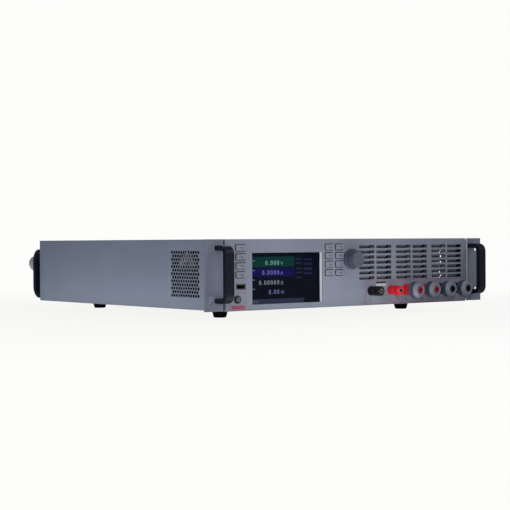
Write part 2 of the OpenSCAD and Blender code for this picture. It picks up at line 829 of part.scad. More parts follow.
// Copper bars that join the two positive and the two negative studs and run back to the heat sink
module bus_bars() {
    piece("#b87333") for (i = [0, 2]) {
        mid = (load_x[i] + load_x[i + 1]) / 2;
        difference() {
            union() {
                block(mid, post_z, load_pitch + bus_h, bus_h, bar_y, bar_y + bus_t);
                block(mid, post_z, 14, bus_t, bar_y + bus_t - 0.2, sink_y[0] - 0.4);
            }
            for (k = [i, i + 1]) rod(load_x[k], post_z, bar_y - 1, bar_y + bus_t + 1, stud_r + fit);
        }
    }
}

module heat_sink() {
    w = sink_x[1] - sink_x[0];
    fins = floor((w - fin_t) / (fin_t + fin_gap));
    pitch = (w - fin_t) / fins;
    piece("#9b9fa6") translate([0, sink_y[1], 0]) rotate([90, 0, 0])
        linear_extrude(sink_y[1] - sink_y[0]) difference() {
            translate([sink_x[0], sheet]) square([w, sink_top - sheet]);
            for (i = [0:fins - 1]) translate([sink_x[0] + fin_t + i * pitch, sheet + sink_base])
                square([pitch - fin_t, sink_top]);
        }
}

// A wound ring core standing on the power board behind the left vent
module supply_choke() {
    seat = power_board_z + board_t;
    base = choke_z - choke_r - choke_wire + 3 - seat;
    piece("#c8c3b4") translate([-inner_x + choke_wire + 4.5, choke_y, 0]) {
        translate([0, 0, choke_z]) rotate([0, 90, 0]) rotate_extrude()
            translate([choke_r, 0]) circle(choke_wire);
        translate([-choke_base[0] / 2, -choke_base[1] / 2, seat])
            cube([choke_base[0], choke_base[1], base]);
    }
}

module fan_frames() {
    boss = hub_r - 2;
    back = rear_in;
    piece("#1b1c20") for (x = fan_x) {
        difference() {
            block(x, mid_z, fan_size, fan_size, back - fan_depth, back);
            rod(x, mid_z, back - fan_depth - 1, back + 1, fan_bore_r);
            for (a = [-1, 1], b = [-1, 1])
                rod(x + a * fan_hole, mid_z + b * fan_hole, back - fan_depth - 1, back + 1, m4 + drill);
        }
        rod(x, mid_z, back - 3.5, back - 0.5, boss);
        rod(x, mid_z, back - fan_depth + 6, back - 2, 1.5);
        for (a = [0, 90]) translate([x, back - 2, mid_z]) rotate([0, a, 0])
            cube([2 * fan_bore_r + 1, 3, 4], center = true);
    }
}

// Hub and seven blades of one fan, turning on the frame's pin
module fan_rotor(x) {
    back = rear_in - 4;
    front = rear_in - fan_depth + 1.5;
    mid = (back + front) / 2;
    piece("#24262b") difference() {
        union() {
            rod(x, mid_z, front, back, hub_r);
            intersection() {
                difference() {
                    rod(x, mid_z, front + 1, back - 1, rotor_r);
                    rod(x, mid_z, front, back, hub_r - 1);
                }
                for (i = [0:6]) translate([x, mid, mid_z]) rotate([0, i * 360 / 7, 0])
                    translate([(hub_r + rotor_r) / 2, 0, 0]) rotate([48, 0, 0])
                        cube([rotor_r - hub_r + 6, blade_wall, 2 * fan_depth], center = true);
            }
        }
        rod(x, mid_z, rear_in - fan_depth + 5, back + 1, 1.5 + fit);
    }
}

module fan_rotor_left() {
    fan_rotor(fan_x[0]);
}

module fan_rotor_right() {
    fan_rotor(fan_x[1]);
}

// Finger guards over the two exhaust openings: rings on crossed arms that end in screw eyes
module fan_guards() {
    arm = fan_hole * sqrt(2);
    piece("#c3c6cb") for (x = fan_x)
        plate_xz(case_d + drill, case_d + drill + 2 * guard_wire) translate([x, mid_z]) difference() {
            union() {
                for (r = guard_rings) difference() {
                    circle(r + guard_wire);
                    circle(r - guard_wire);
                }
                for (a = [45, 135]) rotate(a) square([2 * arm, 2 * guard_wire], center = true);
                for (a = [-1, 1], b = [-1, 1]) translate([a * fan_hole, b * fan_hole]) circle(4.2);
            }
            for (a = [-1, 1], b = [-1, 1]) translate([a * fan_hole, b * fan_hole]) circle(m4 + drill);
        }
}

// Mains inlet with a fuse drawer above its mouth
module ac_inlet() {
    x = inlet_at[0];
    z = inlet_at[1];
    pin_back = case_d - mouth_depth;
    piece("#17181c") {
        difference() {
            union() {
                block(x, z, inlet_w, inlet_h, case_d - 30, case_d);
                plate_xz(case_d, case_d + 2.5) translate(inlet_at) round_rect(inlet_w + 5, inlet_h + 5, 3);
            }
            plate_xz(pin_back, case_d + 4) translate([x, z + mouth_z]) difference() {
                square([mouth_w, mouth_h], center = true);
                for (s = [-1, 1]) translate([s * mouth_w / 2, mouth_h / 2])
                    circle(4, $fn = 4);
            }
            block(x, z + drawer_z, drawer_w + 2 * drawer_gap, drawer_h + 2 * drawer_gap,
                case_d - drawer_depth - drawer_gap, case_d + 4);
        }
        for (p = [[-7, -3], [0, 3], [7, -3]])
            block(x + p[0], z + mouth_z + p[1], 2, 4, pin_back - 1, pin_back + 12);
    }
}

module fuse_drawer() {
    z = inlet_at[1] + drawer_z;
    seat = case_d + 2.5 + drawer_gap;
    piece("#222429") difference() {
        union() {
            block(inlet_at[0], z, drawer_w, drawer_h, case_d - drawer_depth, seat + 0.2);
            block(inlet_at[0], z, drawer_w + 3, drawer_h + 2, seat, seat + 2);
            block(inlet_at[0], z + drawer_h / 2, 9, 2, seat + 1.8, seat + 4);
        }
        for (s = [-1, 1]) rod(inlet_at[0] + s * 5.2, z, case_d - drawer_depth - 1, case_d - 3, 2.7);
    }
}

// Nine-way serial connector and square interface socket
module rear_sockets() {
    x = serial_at[0];
    z = serial_at[1];
    piece("#b0b3b8") {
        difference() {
            union() {
                block(x, z, 31, 12.6, case_d, case_d + 1);
                block(x, z, serial_w, serial_h, case_d - 10, case_d + 0.5);
                plate_xz(case_d + 0.8, case_d + 6.5) translate([x, z])
                    polygon([[-8.5, 4.2], [8.5, 4.2], [7.2, -4.2], [-7.2, -4.2]]);
            }
            for (i = [0:4]) rod(x + (i - 2) * 2.77, z + 1.4, case_d + 3, case_d + 7, 0.6);
            for (i = [0:3]) rod(x + (i - 1.5) * 2.77, z - 1.4, case_d + 3, case_d + 7, 0.6);
        }
        for (s = [-1, 1]) translate([x + s * 12.5, case_d + 1, z]) rotate([-90, 0, 0])
            cylinder(h = 5, r = 2.7, $fn = 6);
        difference() {
            union() {
                block(usb_b_at[0], usb_b_at[1], usb_b_w, usb_b_h, case_d - 12, case_d + 1.5);
                block(usb_b_at[0], usb_b_at[1], usb_b_w + 3, usb_b_h + 3, case_d, case_d + 0.6);
            }
            block(usb_b_at[0], usb_b_at[1], 8.6, 7.8, case_d - 9, case_d + 2);
        }
        block(usb_b_at[0], usb_b_at[1], 5.6, 3.2, case_d - 10, case_d + 0.5);
    }
}

// Long thumb nut of the earth terminal, ending in a polished dome
module earth_nut() {
    r = earth_nut_d / 2;
    from = earth_seat + key_gap;
    bore = earth_stud_r + fit;
    neck = earth_reach - r - 7;
    piece("#c6c8cc") difference() {
        turned_back(earth_at[0], earth_at[1]) {
            translate([bore, from]) square([earth_barrel - bore, neck - from + 0.2]);
            translate([bore, neck]) square([r - bore, 7]);
            intersection() {
                translate([0, earth_reach - r]) circle(r);
                translate([0, earth_reach - r]) square(r);
            }
        }
        rod(earth_at[0], earth_at[1], case_d + neck, case_d + earth_reach - 8, bore);
    }
}

base_tray();
side_panel_left();
side_panel_right();
top_cover();
rear_panel();
front_panel();
front_bulkhead();
vent_louvre();
rack_ear_left();
rack_ear_right();
front_handle_left();
front_handle_right();
rear_handles();
case_screws();
rubber_feet();
display_frame();
display_lens();
display_module();
circuit_boards();
key(menu_x, 0, menu_key_w);  // menu_key_1
key(menu_x, 1, menu_key_w);  // menu_key_2
key(menu_x, 2, menu_key_w);  // menu_key_3
key(menu_x, 3, menu_key_w);  // menu_key_4
key(pad_x[0], 0, pad_key_w);  // pad_key_1
key(pad_x[1], 0, pad_key_w);  // pad_key_2
key(pad_x[0], 1, pad_key_w);  // pad_key_3
key(pad_x[1], 1, pad_key_w);  // pad_key_4
key(pad_x[0], 2, pad_key_w);  // pad_key_5
key(pad_x[1], 2, pad_key_w);  // pad_key_6
key(pad_x[0], 3, pad_key_w);  // pad_key_7
key(pad_x[1], 3, pad_key_w);  // pad_key_8
power_button();
power_switch();
encoder();
encoder_shaft();
adjust_knob();
usb_socket();
sense_base_black();
sense_base_red();
sense_nut_black();
sense_nut_red();
terminal_studs();
load_collars_red();
load_collars_black();
load_nut(0);  // load_nut_1
load_nut(1);  // load_nut_2
load_nut(2);  // load_nut_3
load_nut(3);  // load_nut_4
bus_bars();
heat_sink();
supply_choke();
fan_frames();
fan_rotor_left();
fan_rotor_right();
fan_guards();
ac_inlet();
fuse_drawer();
rear_sockets();
earth_nut();
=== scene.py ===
import math

import bmesh
import bpy
from mathutils import Matrix, Vector


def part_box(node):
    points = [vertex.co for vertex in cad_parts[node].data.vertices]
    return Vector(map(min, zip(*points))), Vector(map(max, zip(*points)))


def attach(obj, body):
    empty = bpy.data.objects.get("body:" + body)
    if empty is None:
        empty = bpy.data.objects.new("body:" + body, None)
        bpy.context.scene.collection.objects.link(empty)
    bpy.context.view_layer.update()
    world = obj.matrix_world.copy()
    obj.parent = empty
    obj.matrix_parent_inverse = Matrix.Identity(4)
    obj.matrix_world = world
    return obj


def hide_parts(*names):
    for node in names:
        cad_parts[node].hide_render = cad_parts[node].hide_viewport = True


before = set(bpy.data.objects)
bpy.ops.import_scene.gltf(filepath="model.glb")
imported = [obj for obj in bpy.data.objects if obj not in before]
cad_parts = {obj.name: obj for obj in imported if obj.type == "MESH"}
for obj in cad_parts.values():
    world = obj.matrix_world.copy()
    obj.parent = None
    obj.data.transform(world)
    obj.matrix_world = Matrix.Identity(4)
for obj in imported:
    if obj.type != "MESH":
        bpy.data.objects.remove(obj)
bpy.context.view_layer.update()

# The camera stands in front of the left corner, about as high as the top cover.
# Its place, turn and focal length come from fitting the case's corners to the photograph.
scene = bpy.context.scene
scene.view_settings.view_transform = "Standard"
camera_at = Vector((-1.187202, -1.544724, 0.097085))
yaw, pitch, roll = math.radians(38.114), math.radians(-0.578), math.radians(-0.326)
ahead = Vector((math.sin(yaw) * math.cos(pitch), math.cos(yaw) * math.cos(pitch), math.sin(pitch)))
level = Vector((math.cos(yaw), -math.sin(yaw), 0.0))
above = level.cross(ahead)
across = math.cos(roll) * level + math.sin(roll) * above
upward = math.cos(roll) * above - math.sin(roll) * level
lens = bpy.data.cameras.new("camera")
lens.sensor_width = 36.0
lens.lens = 94.79
lens.clip_start = 0.05
camera = bpy.data.objects.new("camera", lens)
turn = Matrix((across, upward, -ahead)).transposed().to_4x4()
camera.matrix_world = Matrix.Translation(camera_at) @ turn
scene.collection.objects.link(camera)
scene.camera = camera


# The studio is a pale matt floor in a white surround. The key light stands off to the front right, so
# handles, knob and terminals throw soft shadows to the left. Fill comes from overhead, left and rear,
# and two cards on the floor beside the case send light up to its lower edges, as a bright floor does.
def linear(code):
    """A six-figure sRGB colour as the linear RGBA that a shader takes."""
    parts = [int(code[i:i + 2], 16) / 255 for i in (1, 3, 5)]
    return [p / 12.92 if p <= 0.04045 else ((p + 0.055) / 1.055) ** 2.4 for p in parts] + [1.0]


def add(tree, kind, sockets=None, **settings):
    """Adds one shader node; each socket is given a value or the output that feeds it."""
    made = tree.nodes.new(kind)
    for key, value in settings.items():
        setattr(made, key, value)
    for key, value in (sockets or {}).items():
        if isinstance(value, bpy.types.NodeSocket):
            tree.links.new(value, made.inputs[key])
        else:
            made.inputs[key].default_value = value
    return made


# The camera sees the surround white, also through glass. It lights the object only faintly.
surround_white = linear("#fdfdfb")
surround = bpy.data.worlds.new("white surround")
scene.world = surround
surround.use_nodes = True
sky = surround.node_tree
sky.nodes.clear()
ray = add(sky, "ShaderNodeLightPath")
soft = add(sky, "ShaderNodeBackground", {"Color": linear("#f2f5ff"), "Strength": 0.08})
white = add(sky, "ShaderNodeBackground", {"Color": surround_white, "Strength": 1.0})
seen = add(sky, "ShaderNodeMixShader",
           {0: ray.outputs["Is Camera Ray"], 1: soft.outputs[0], 2: white.outputs[0]})
glass_seen = add(sky, "ShaderNodeMixShader",
                 {0: ray.outputs["Is Transmission Ray"], 1: seen.outputs[0], 2: white.outputs[0]})
add(sky, "ShaderNodeOutputWorld", {"Surface": glass_seen.outputs[0]})


def soft_box(name, at, aim, size, power):
    """A rectangular area lamp, in metres and watts, that faces a point. The camera doesn't see it."""
    lamp = bpy.data.lights.new(name, "AREA")
    lamp.shape = "RECTANGLE"
    lamp.size, lamp.size_y = size
    lamp.energy = power
    held = bpy.data.objects.new(name, lamp)
    held.location = at
    held.rotation_euler = (Vector(aim) - Vector(at)).to_track_quat("-Z", "Y").to_euler()
    held.visible_camera = False
    scene.collection.objects.link(held)


soft_box("key box", (1.11, -1.66, 1.25), (0.0, -0.24, 0.05), (0.8, 0.8), 7.0)
soft_box("overhead box", (0.0, -0.3, 2.4), (0.0, -0.1, 0.0), (2.6, 2.6), 9.0)
soft_box("left box", (-1.6, -0.95, 0.4), (-0.2, -0.1, 0.04), (0.9, 0.9), 7.4)
soft_box("near box", (-0.38, -0.8, 0.16), (-0.2, -0.25, 0.04), (0.25, 0.25), 0.49)
soft_box("rear box", (1.0, 1.9, 1.3), (0.0, 0.1, 0.05), (1.6, 1.6), 14.0)
soft_box("side card", (-0.27, 0.0, 0.004), (-0.27, 0.0, 1.0), (0.09, 0.44), 0.141)
soft_box("front card", (-0.06, -0.31, 0.004), (-0.06, -0.31, 1.0), (0.3, 0.1), 0.102)

floor_reach = 8.0
bm = bmesh.new()
bmesh.ops.create_grid(bm, x_segments=4, y_segments=4, size=floor_reach)
floor_mesh = bpy.data.meshes.new("floor")
bm.to_mesh(floor_mesh)
bm.free()
floor = bpy.data.objects.new("floor", floor_mesh)
scene.collection.objects.link(floor)
# Matt paper: the eye sees it as white, with a pale shadow that fades out within a metre.
fade_from, fade_to = 0.3, 0.9
near_white = 0.91
paper = bpy.data.materials.new("matt white paper")
paper.use_nodes = True
sweep = paper.node_tree
matt = sweep.nodes["Principled BSDF"]
matt.inputs["Base Color"].default_value = linear("#efefee")
matt.inputs["Roughness"].default_value = 0.95
matt.inputs["Specular IOR Level"].default_value = 0.1
spot = add(sweep, "ShaderNodeTexCoord")
reach = add(sweep, "ShaderNodeVectorMath", {0: spot.outputs["Object"]}, operation="LENGTH")
fade = add(sweep, "ShaderNodeMapRange",
           {"Value": reach.outputs["Value"], "From Min": fade_from, "From Max": fade_to,
            "To Min": near_white, "To Max": 1.0})
bright = add(sweep, "ShaderNodeEmission", {"Color": surround_white, "Strength": 1.0})
faded = add(sweep, "ShaderNodeMixShader",
            {0: fade.outputs["Result"], 1: matt.outputs[0], 2: bright.outputs[0]})
path = add(sweep, "ShaderNodeLightPath")
shown = add(sweep, "ShaderNodeMixShader",
            {0: path.outputs["Is Camera Ray"], 1: matt.outputs[0], 2: faded.outputs[0]})
sweep.links.new(shown.outputs[0], sweep.nodes["Material Output"].inputs["Surface"])
paper.cycles.emission_sampling = "NONE"
floor_mesh.materials.append(paper)

# The case is folded steel sheet: two side panels, a cover, a tray and a rear panel, with flanges
# that lie against one another and are screwed together. It is powder coated blue grey.
# NEAR is how close to a plane counts as on it, and MERGE how close two corners count as one.
# Edges over SHARP can be rounded, those over CREASE show as edges, and those under FLAT are dissolved.
MM = 0.001
NEAR = 0.1 * MM
MERGE = 0.002 * MM
SHARP = math.radians(50)
CREASE = math.radians(40)
FLAT = math.radians(0.5)


def surface(name, tones, patch_mm, rough, grain_mm, depth_mm, metal=0.0, gleam=0.5):
    """A solid finish in Object coordinates.

    Two sRGB tones drift into one another over patches, and the gloss drifts with them between
    two roughness values. Grains of one size and depth roughen the surface. Moulded and plated grain
    is finer than 0.1 mm, so it is drawn 0.3 mm wide or more to show at all. Gleam is the strength
    of the reflection, 0.5 for most plastics and paints.
    """
    drift = (0.36, 0.64)
    made = bpy.data.materials.new(name)
    made.use_nodes = True
    tree = made.node_tree
    shader = tree.nodes["Principled BSDF"]
    place = add(tree, "ShaderNodeTexCoord").outputs["Object"]
    cloud = add(tree, "ShaderNodeTexNoise",
                {"Vector": place, "Scale": 1 / (patch_mm * MM), "Detail": 5.0})
    ramp = add(tree, "ShaderNodeValToRGB", {"Fac": cloud.outputs["Fac"]})
    for stop, at, tone in zip(ramp.color_ramp.elements, drift, tones):
        stop.position = at
        stop.color = linear(tone)
    gloss = add(tree, "ShaderNodeMapRange",
                {"Value": cloud.outputs["Fac"], "From Min": drift[0], "From Max": drift[1],
                 "To Min": rough[0], "To Max": rough[1]})
    grain = add(tree, "ShaderNodeTexNoise",
                {"Vector": place, "Scale": 1 / (grain_mm * MM), "Detail": 2.0})
    bump = add(tree, "ShaderNodeBump", {"Height": grain.outputs["Fac"], "Distance": depth_mm * MM})
    tree.links.new(ramp.outputs["Color"], shader.inputs["Base Color"])
    tree.links.new(gloss.outputs["Result"], shader.inputs["Roughness"])
    tree.links.new(bump.outputs["Normal"], shader.inputs["Normal"])
    shader.inputs["Metallic"].default_value = metal
    shader.inputs["Specular IOR Level"].default_value = gleam
    return made


def wear(material, *names):
    """Gives CAD nodes one finish."""
    for name in names:
        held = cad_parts[name].data
        held.materials.clear()
        held.materials.append(material)


def patch_finish(mesh, material, wanted):
    """Gives the faces of a mesh whose middle and direction pass a test another finish."""
    mesh.materials.append(material)
    for face in mesh.polygons:
        if wanted(face.center, face.normal):
            face.material_index = len(mesh.materials) - 1


def joined(name):
    """A copy of a CAD node's surface with its corners merged and its flat faces made whole."""
    bm = bmesh.new()
    bm.from_mesh(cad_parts[name].data)
    bmesh.ops.remove_doubles(bm, verts=bm.verts, dist=MERGE)
    bmesh.ops.dissolve_limit(bm, angle_limit=FLAT, verts=bm.verts, edges=bm.edges)
    return bm


def ease(bm, width_mm, steps, wanted):
    """Rounds the sharp edges that pass a test."""
    sharp = [e for e in bm.edges if e.is_manifold and e.calc_face_angle() > SHARP and wanted(e)]
    bmesh.ops.bevel(bm, geom=sharp, offset=width_mm * MM, offset_type="OFFSET", segments=steps,
                    profile=0.5, affect="EDGES", clamp_overlap=True, material=-1)


def keep(bm, name, material, body, slot, *nodes):
    """Makes a bmesh a piece that rides on a body, in place of CAD nodes if any are named."""
    for face in bm.faces:
        face.smooth = True
    for edge in bm.edges:
        edge.smooth = edge.is_manifold and edge.calc_face_angle() < CREASE
    mesh = bpy.data.meshes.new(name)
    bm.to_mesh(mesh)
    bm.free()
    mesh.materials.append(material)
    piece = bpy.data.objects.new(name, mesh)
    scene.collection.objects.link(piece)
    weighted = piece.modifiers.new("flat faces stay flat", "WEIGHTED_NORMAL")
    weighted.keep_sharp = True
    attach(piece, body)
    if nodes:
        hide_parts(*nodes)
    return piece


# Powder coat, sprayed and baked: a satin blue grey with a faint orange peel about 1 mm across.
case_coat = surface("powder coat on steel", ("#80899d", "#858ea2"), 60, (0.46, 0.5), 1.1, 0.02)
wear(case_coat, "base_tray", "rear_panel", "top_cover")
# Painted shade: a thin, dark finish on the inside faces of the case and on the walls of the vent holes,
# so that they look as dark as the shade inside the case.
shade_inside = surface("painted shade inside the case", ("#1b1e25", "#24272f"), 20, (0.6, 0.75), 0.8, 0.01)
patch_finish(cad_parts["top_cover"].data, shade_inside, lambda c, n: n.z < -0.5)
patch_finish(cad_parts["base_tray"].data, shade_inside, lambda c, n: n.z > 0.5)
patch_finish(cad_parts["rear_panel"].data, shade_inside, lambda c, n: n.y < -0.5)
fold_mm = 1.2
edge_mm = 2.0
for side in ("left", "right"):
    name = f"side_panel_{side}"
    low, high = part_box(name)
    outer = low.x if side == "left" else high.x
    bm = joined(name)
    ease(bm, fold_mm, 3, lambda e: all(
        abs(v.co.x - outer) < NEAR and min(v.co.z - low.z, high.z - v.co.z) < NEAR for v in e.verts))
    folded = keep(bm, f"folded_side_{side}", case_coat, "chassis", "case_paint", name)
    # The side panels' inside faces and hole walls get the painted shade too.
    patch_finish(folded.data, shade_inside, lambda c, n: abs(c.x - outer) > NEAR and all(
        a + edge_mm * MM < b < z - edge_mm * MM for a, b, z in zip(low.yz, c.yz, high.yz)))

# The bulkhead is a flat steel sheet behind the front panel. It and the case, ears, handles, feet and
# fans are held by pan-head and countersunk steel screws.
# Zinc-plated steel: a dull silver with cloudy patches from the bath.
zinc = surface("zinc-plated steel", ("#8f9296", "#a9acaf"), 12, (0.32, 0.45), 0.5, 0.006, metal=1.0)
wear(zinc, "front_bulkhead", "case_screws")

# The rack ears are bent steel plates, coated like the case and screwed to its sides.
# Each has two slots for rack screws, and carries a bar handle.
# Painted highlight: the ears' edges beside the front panel get a pale finish and show as bright lines.
edge_highlight = surface("ear edges, painted highlight", ("#d4d7de", "#e2e5ea"), 10, (0.35, 0.45), 0.5, 0.004)
ear_round_mm = 0.3
for side in ("left", "right"):
    low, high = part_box(f"rack_ear_{side}")
    inner = high.x if side == "left" else low.x
    bm = joined(f"rack_ear_{side}")
    ease(bm, ear_round_mm, 2, lambda e: all(abs(v.co.y - low.y) < NEAR for v in e.verts))
    bent = keep(bm, f"bent_ear_{side}", case_coat, "chassis", "case_paint", f"rack_ear_{side}")
    # The ear's inner edge gets the painted highlight.
    patch_finish(bent.data, edge_highlight, lambda c, n: abs(n.x) > 0.9 and abs(c.x - inner) < NEAR)

# The four handles are bent aluminium bars with round edges. Two stand on the ears and two at the
# rear, screwed on through their drilled legs.
# Black coat over metal, satin: a bluish black that only greys a little on the bends.
handle_coat = surface("black coat on aluminium", ("#070c20", "#0b1028"), 9, (0.42, 0.52), 0.7, 0.008,
                      gleam=0.3)
bar_round_mm = 2.6
for name, made in (("front_handle_left", "round_handle_left"),
                   ("front_handle_right", "round_handle_right"),
                   ("rear_handles", "round_handles_rear")):
    bm = joined(name)
    ease(bm, bar_round_mm, 4, lambda e: True)
    keep(bm, made, handle_coat, "chassis", "handle_black", name)

# The feet are moulded rubber cones under the base tray, narrower towards the table.
# A screw sunk in each one holds it.
# Rubber: matt black that greys a little where it is handled.
rubber = surface("moulded rubber", ("#0d0e11", "#15161a"), 8, (0.7, 0.85), 0.8, 0.03)
foot_round_mm = 0.8
bm = joined("rubber_feet")
ease(bm, foot_round_mm, 3, lambda e: True)
keep(bm, "round_feet", rubber, "chassis", "foot_rubber", "rubber_feet")

# The front panel is one ABS moulding, painted like the case, with openings for all that it carries.
# A steel bulkhead stands behind it.
# Painted ABS: smoother than the powder coat, with an even satin gloss.
panel_paint = surface("satin paint on ABS", ("#8e94a6", "#9399ab"), 45, (0.38, 0.46), 0.6, 0.006)
panel_low, panel_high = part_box("front_panel")
panel_face = panel_low.y
case_floor = panel_low.z


def on_face(edge):
    """Is this edge on the panel's front face?"""
    return all(abs(v.co.y - panel_face) < NEAR for v in edge.verts)


def on_rim(edge):
    """Is this edge on the panel's outline?"""
    return all(min(v.co.x - panel_low.x, panel_high.x - v.co.x, v.co.z - panel_low.z,
                   panel_high.z - v.co.z) < NEAR for v in edge.verts)


opening_round_mm = 0.25
rim_round_mm = 0.9
bm = joined("front_panel")
ease(bm, opening_round_mm, 2, lambda e: on_face(e) and not on_rim(e))
ease(bm, rim_round_mm, 3, lambda e: on_face(e) and on_rim(e))
moulded = keep(bm, "moulded_panel", panel_paint, "chassis", "panel_plastic", "front_panel")
# Painted shade: the walls of the panel's openings get a dark finish behind the front face.
opening_shade = surface("panel openings, painted shade", ("#2e323c", "#373b46"), 8, (0.5, 0.6), 0.5, 0.006)
shade_from_mm = 0.3
patch_finish(moulded.data, opening_shade, lambda c, n: c.y > panel_face + shade_from_mm * MM and min(
    c.x - panel_low.x, panel_high.x - c.x, c.z - panel_low.z, panel_high.z - c.z) > NEAR)

# The marks on the panel are screen printed: two red frames round the terminals, a red frame and bar
# at the power button, polarity signs, and a small two-tone label.
# Printing ink: flat colour, slightly uneven from the mesh that it is pressed through.
ink_mm = 0.06
red_ink = surface("red printing ink", ("#a8485a", "#b05264"), 3, (0.5, 0.6), 0.3, 0.004)
pink_ink = surface("pale red printing ink", ("#a4606f", "#aa6877"), 3, (0.5, 0.6), 0.3, 0.004)
black_ink = surface("black printing ink", ("#22252e", "#2b2e38"), 3, (0.5, 0.6), 0.3, 0.004)
white_ink = surface("white printing ink", ("#c9cad2", "#d3d4da"), 3, (0.5, 0.6), 0.3, 0.004)


def slab(bm, x, z, width, height, front, back):
    """Adds an upright plate to a bmesh: middle and size in mm on the panel, and its two depths."""
    middle = Vector((x * MM, panel_face + (front + back) / 2 * MM, case_floor + z * MM))
    size = Vector((width, back - front, height)) * MM
    place = Matrix.Translation(middle) @ Matrix.Diagonal(size).to_4x4()
    bmesh.ops.create_cube(bm, size=1.0, matrix=place)


def printed(bm, x, z, width, height):
    """Adds a printed bar to a bmesh."""
    slab(bm, x, z, width, height, -ink_mm, 0.0)


def printed_frame(bm, left, right, bottom, top, line):
    """Adds a printed outline to a bmesh."""
    for z in (bottom, top):
        printed(bm, (left + right) / 2, z, right - left + line, line)
    for x in (left, right):
        printed(bm, x, (bottom + top) / 2, line, top - bottom - line)


def panel_spot(name):
    """The middle of a CAD node as x and z in mm on the panel."""
    low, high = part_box(name)
    return (low.x + high.x) / 2 / MM, ((low.z + high.z) / 2 - case_floor) / MM


sign_z = 5.4
sign = 2.6
stroke = 0.8


def printed_sign(bm, name, plus):
    """Adds the sign of a terminal to a bmesh: a bar, and for a plus the two halves of its upright."""
    x = panel_spot(name)[0]
    printed(bm, x, sign_z, sign, stroke)
    if plus:
        for end in (-1, 1):
            printed(bm, x, sign_z + end * (sign + stroke) / 4, stroke, (sign - stroke) / 2)


button_x, button_z = panel_spot("power_button")
frame_line = 0.7
frame_foot, frame_top, button_frame_top = 1.6, 32.5, 22.5
frames = ((19.1, 76.0, frame_top), (80.0, 209.0, frame_top),
          (button_x - 11.5, button_x + 13.0, button_frame_top))
bm = bmesh.new()
for left, right, top in frames:
    printed_frame(bm, left, right, frame_foot, top, frame_line)
keep(bm, "red_frames", pink_ink, "chassis", "red_plastic")
bar_z, bar_w, bar_h = 4.6, 20.0, 4.4
bm = bmesh.new()
printed(bm, button_x + 0.8, bar_z, bar_w, bar_h)
printed_sign(bm, "sense_base_red", True)
keep(bm, "red_signs", red_ink, "chassis", "red_plastic")
label_x, label_w = 47.8, 18.3
dark_z, dark_h = 29.6, 2.4
pale_z, pale_h = 26.7, 3.2
bm = bmesh.new()
for name, plus in (("sense_base_black", False), ("load_nut_1", True), ("load_nut_2", True),
                   ("load_nut_3", False), ("load_nut_4", False)):
    printed_sign(bm, name, plus)
printed(bm, label_x, dark_z, label_w, dark_h)
keep(bm, "black_signs", black_ink, "chassis", "black_plastic")
bm = bmesh.new()
printed(bm, label_x, pale_z, label_w, pale_h)
keep(bm, "pale_label", white_ink, "chassis", "white_plastic")

# The display sits in a pale moulded frame: a black module with a colour screen behind a thin lens.
# The frame lines the panel's window, and the module stands behind it.
# White ABS: smooth and bright, a little bluish.
frame_white = surface("white ABS", ("#f8f9fd", "#ffffff"), 15, (0.3, 0.4), 0.4, 0.004)
wear(frame_white, "display_frame")
# Black coated steel: the module's tin box.
module_black = surface("black coated tin", ("#08090c", "#0d0e12"), 10, (0.45, 0.55), 0.5, 0.004)
wear(module_black, "display_module")


def glow(name, tones, patch_mm):
    """A lit area of the screen: its colour wavers between two tones from cell to cell.

    The real cells are about 0.2 mm wide, too fine to show, so they are drawn 1 to 3 mm wide.
    """
    made = bpy.data.materials.new(name)
    made.use_nodes = True
    tree = made.node_tree
    shader = tree.nodes["Principled BSDF"]
    place = add(tree, "ShaderNodeTexCoord").outputs["Object"]
    cells = add(tree, "ShaderNodeTexVoronoi", {"Vector": place, "Scale": 1 / (patch_mm * MM)})
    ramp = add(tree, "ShaderNodeValToRGB", {"Fac": cells.outputs["Distance"]})
    for stop, tone in zip(ramp.color_ramp.elements, tones):
        stop.color = linear(tone)
    tree.links.new(ramp.outputs["Color"], shader.inputs["Emission Color"])
    shader.inputs["Base Color"].default_value = linear("#050608")
    shader.inputs["Emission Strength"].default_value = 1.0
    made.cycles.emission_sampling = "NONE"
    shader.inputs["Roughness"].default_value = 0.6
    shader.inputs["Specular IOR Level"].default_value = 0.1
    return made


lens_low, lens_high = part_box("display_lens")
bezel = 3.2
glass_mm = 1.5
air_mm = 0.03
film_mm = 0.01
patch_lift, mark_lift, figure_lift = 0.004, 0.008, 0.02
screen_x = lens_low.x / MM + bezel
screen_top = (lens_high.z - case_floor) / MM - bezel
screen_w = (lens_high.x - lens_low.x) / MM - 2 * bezel
screen_h = (lens_high.z - lens_low.z) / MM - 2 * bezel
lens_front = (lens_low.y - panel_face) / MM
picture = lens_front + glass_mm + air_mm

# Acrylic sheet, clear and coated against glare: the picture shows through, and only at a flat angle
# does a hazy reflection come up, which wavers from patch to patch.
haze_mm = 20
pane_round_mm = 0.2
clear = bpy.data.materials.new("clear acrylic sheet")
clear.use_nodes = True
pane = clear.node_tree
pane.nodes.clear()
through = add(pane, "ShaderNodeBsdfTransparent", {"Color": linear("#eef1f5")})
haze = add(pane, "ShaderNodeTexNoise", {"Vector": add(pane, "ShaderNodeTexCoord").outputs["Object"],
                                        "Scale": 1 / (haze_mm * MM), "Detail": 4.0})
smear = add(pane, "ShaderNodeMapRange", {"Value": haze.outputs["Fac"], "To Min": 0.05, "To Max": 0.15})
mirror = add(pane, "ShaderNodeBsdfGlossy",
             {"Color": linear("#9aa4c0"), "Roughness": smear.outputs["Result"]})
angle = add(pane, "ShaderNodeLayerWeight", {"Blend": 0.5})
glare = add(pane, "ShaderNodeMapRange",
            {"Value": angle.outputs["Facing"], "From Min": 0.4, "From Max": 1.0,
             "To Min": 0.0, "To Max": 0.5})
sheet = add(pane, "ShaderNodeMixShader",
            {0: glare.outputs["Result"], 1: through.outputs[0], 2: mirror.outputs[0]})
add(pane, "ShaderNodeOutputMaterial", {"Surface": sheet.outputs[0]})
bm = bmesh.new()
